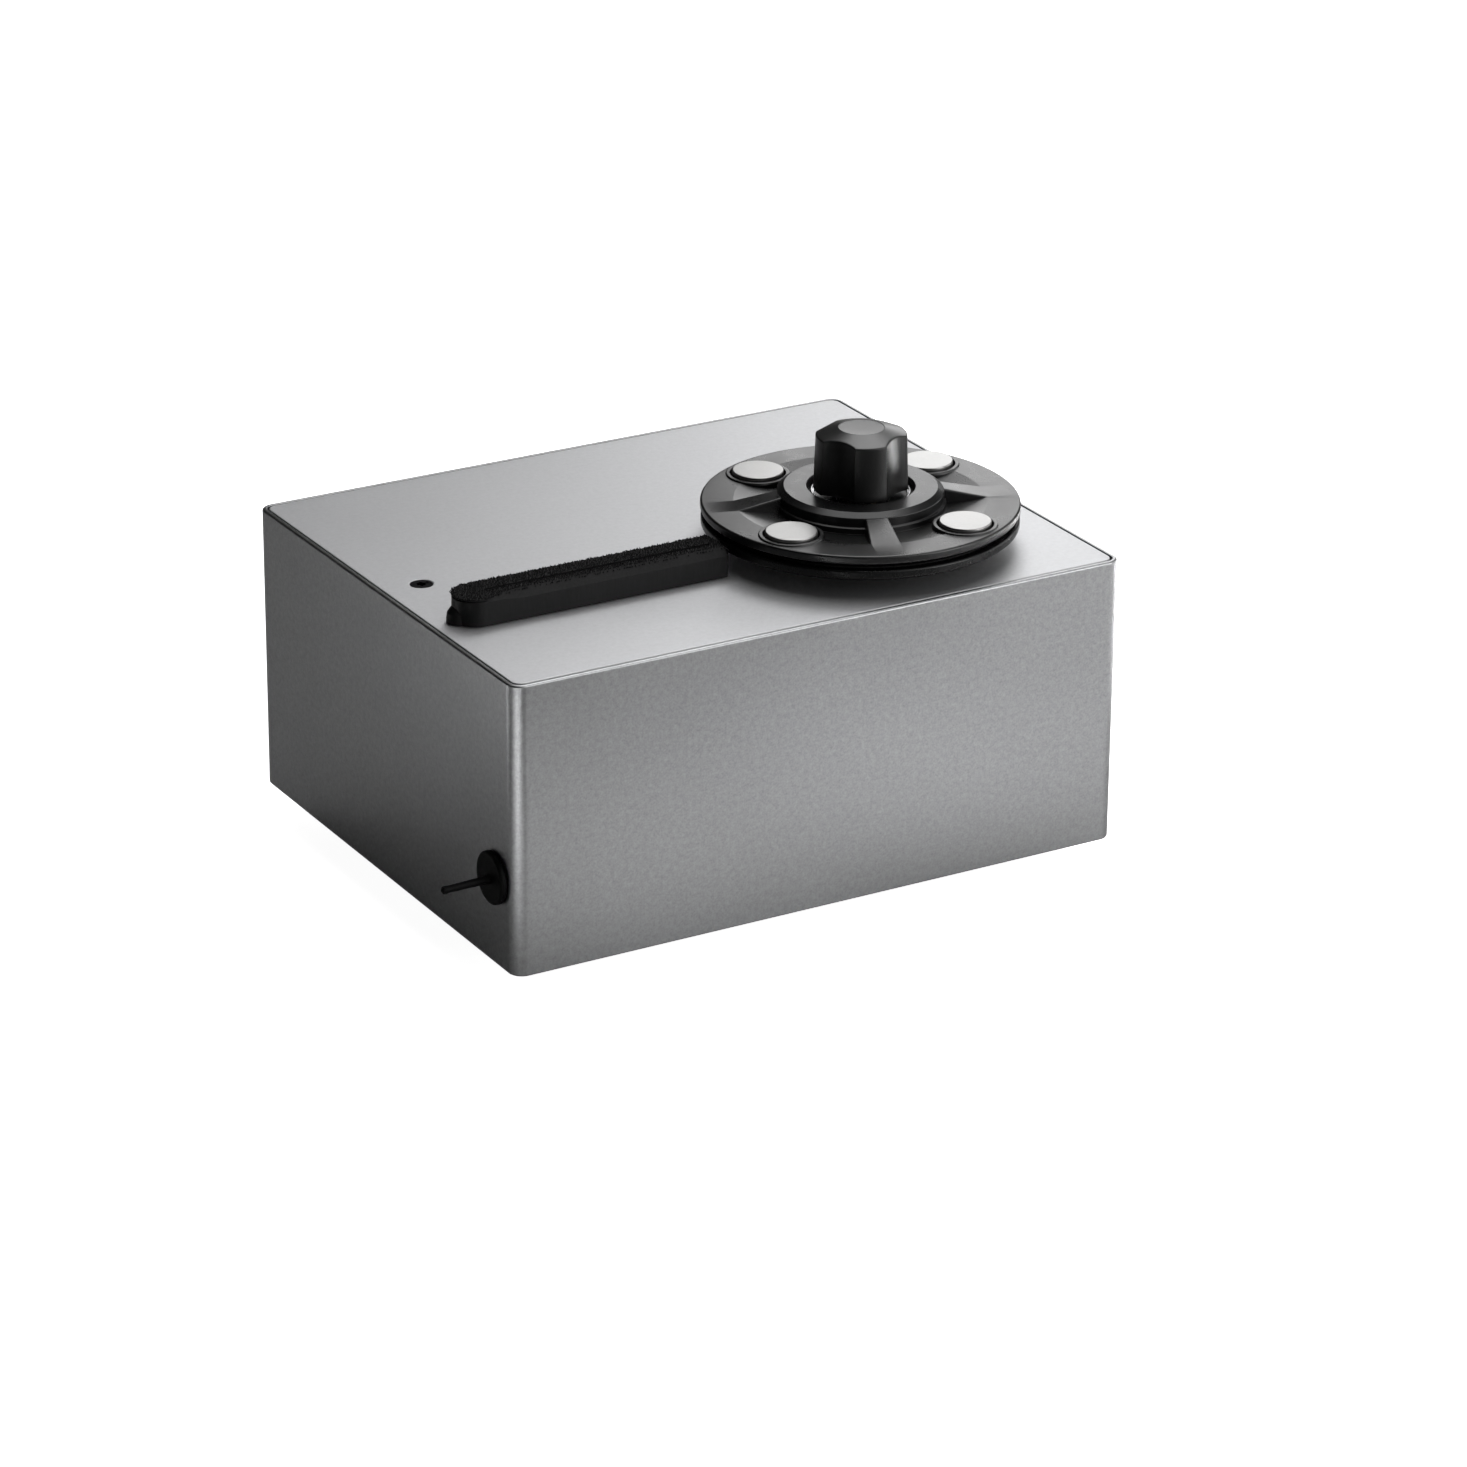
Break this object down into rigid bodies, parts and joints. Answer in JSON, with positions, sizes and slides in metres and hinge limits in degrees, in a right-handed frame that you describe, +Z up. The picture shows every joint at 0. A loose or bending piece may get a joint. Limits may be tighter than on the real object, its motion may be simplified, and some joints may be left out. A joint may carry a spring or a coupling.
{
  "type": "record cleaning machine",
  "caption": "Box-shaped record cleaning machine: label-sized platter under a magnetic clamp with a lobed knob, velvet-topped suction arm, drain stopper on the side.",
  "frame": {"origin": "centre of the overall footprint at the level of the feet's soles", "axes": "+X to the object's right, +Y from the front panel to the back, +Z up"},
  "size_m": [0.2534, 0.1886, 0.155],
  "materials": {
    "housing_aluminium": "bead-blasted, satin anodised",
    "plate_aluminium": "bead-blasted, satin anodised",
    "post_aluminium": "mill finish",
    "zinc_sheet": "zinc plated sheet",
    "plated_steel": "zinc plated",
    "black_screw": "black oxide",
    "foot_rubber": "matt",
    "bearing_bronze": "sintered",
    "spindle_steel": "ground",
    "black_plastic": "satin moulded",
    "knob_plastic": "satin gloss, moulded",
    "mat_rubber": "fine matt",
    "seal_rubber": "matt",
    "magnet_plating": "nickel plated, lightly rubbed",
    "ring_chrome": "polished",
    "insert_brass": "turned",
    "arm_plastic": "satin extruded",
    "arm_velvet": "short pile",
    "grey_plastic": "moulded",
    "hose_rubber": "matt",
    "tank_plastic": "translucent, blow moulded",
    "stopper_rubber": "matt",
    "motor_steel": "zinc plated can",
    "fitting_plastic": "fine spark texture",
    "rocker_plastic": "satin moulded",
    "board": "solder mask",
    "transformer_core": "laminated, varnished"
  },
  "bodies": {
    "chassis": {"housing_wrap": "housing_aluminium", "top_plate": "plate_aluminium", "base_plate": "zinc_sheet", "corner_post_front_left": "post_aluminium", "corner_post_front_right": "post_aluminium", "corner_post_rear_left": "post_aluminium", "corner_post_rear_right": "post_aluminium", "base_screw_front_left": "plated_steel", "base_screw_front_right": "plated_steel", "base_screw_rear_left": "plated_steel", "base_screw_rear_right": "plated_steel", "foot_front_left": "foot_rubber", "foot_front_right": "foot_rubber", "foot_rear_left": "foot_rubber", "foot_rear_right": "foot_rubber", "plate_bracket_left": "plated_steel", "plate_bracket_right": "plated_steel", "top_screw_left": "black_screw", "top_screw_right": "black_screw", "spindle_bearing": "bearing_bronze", "suction_port": "grey_plastic", "suction_hose": "hose_rubber", "waste_tank": "tank_plastic", "tank_lid": "grey_plastic", "vacuum_hose": "hose_rubber", "blower_housing": "grey_plastic", "vacuum_motor": "motor_steel", "vacuum_motor_mount": "seal_rubber", "exhaust_grille": "fitting_plastic", "drive_motor": "motor_steel", "motor_bracket": "zinc_sheet", "drive_belt": "seal_rubber", "switch_plate": "fitting_plastic", "power_inlet": "fitting_plastic", "circuit_board": "board", "transformer": "transformer_core"},
    "platter": {"platter": "black_plastic", "platter_mat": "mat_rubber", "spindle": "spindle_steel", "platter_pulley": "grey_plastic"},
    "clamp": {"clamp_disc": "black_plastic", "label_seal": "seal_rubber", "hub_ring": "ring_chrome", "magnet_1": "magnet_plating", "magnet_2": "magnet_plating", "magnet_3": "magnet_plating", "magnet_4": "magnet_plating"},
    "knob": {"knob": "knob_plastic", "knob_insert": "insert_brass"},
    "arm": {"suction_arm": "arm_plastic", "velvet_pad": "arm_velvet", "arm_seal": "seal_rubber"},
    "stopper": {"drain_stopper": "stopper_rubber"},
    "motor_rotor": {"motor_shaft": "spindle_steel", "motor_pulley": "insert_brass"},
    "impeller": {"impeller": "grey_plastic"},
    "rotation_switch": {"rotation_rocker": "rocker_plastic"},
    "suction_switch": {"suction_rocker": "rocker_plastic"},
    "power_switch": {"power_rocker": "rocker_plastic"}
  },
  "joints": [
    {"name": "platter_spin", "type": "hinge", "parent": "chassis", "child": "platter", "pos_m": [0.05526, -0.03694, 0.1143], "axis": [0, 0, 1], "continuous": true},
    {"name": "clamp_lift", "type": "slide", "parent": "platter", "child": "clamp", "axis": [0, 0, 1], "range_m": [0, 0.045]},
    {"name": "knob_turn", "type": "hinge", "parent": "clamp", "child": "knob", "pos_m": [0.05526, -0.03694, 0.1333], "axis": [0, 0, 1], "range_deg": [0, 270]},
    {"name": "arm_lift", "type": "slide", "parent": "chassis", "child": "arm", "axis": [0, 0, 1], "range_m": [0, 0.03]},
    {"name": "stopper_pull", "type": "slide", "parent": "chassis", "child": "stopper", "axis": [-1, 0, 0], "range_m": [0, 0.02]},
    {"name": "motor_spin", "type": "hinge", "parent": "chassis", "child": "motor_rotor", "pos_m": [0.07896, 0.02566, 0.083], "axis": [0, 0, 1], "continuous": true},
    {"name": "impeller_spin", "type": "hinge", "parent": "chassis", "child": "impeller", "pos_m": [-0.04504, 0.04666, 0.063], "axis": [0, 0, 1], "continuous": true},
    {"name": "rotation_switch_tilt", "type": "hinge", "parent": "chassis", "child": "rotation_switch", "pos_m": [0.12446, -0.05734, 0.075], "axis": [0, 1, 0], "range_deg": [-8, 8]},
    {"name": "suction_switch_tilt", "type": "hinge", "parent": "chassis", "child": "suction_switch", "pos_m": [0.12446, -0.04134, 0.075], "axis": [0, -1, 0], "range_deg": [0, 16]},
    {"name": "power_switch_tilt", "type": "hinge", "parent": "chassis", "child": "power_switch", "pos_m": [0.06596, 0.09216, 0.045], "axis": [1, 0, 0], "range_deg": [0, 16]}
  ],
  "couplings": [
    {"joint": "motor_spin", "follows": "platter_spin", "ratio": 2.919}
  ]
}
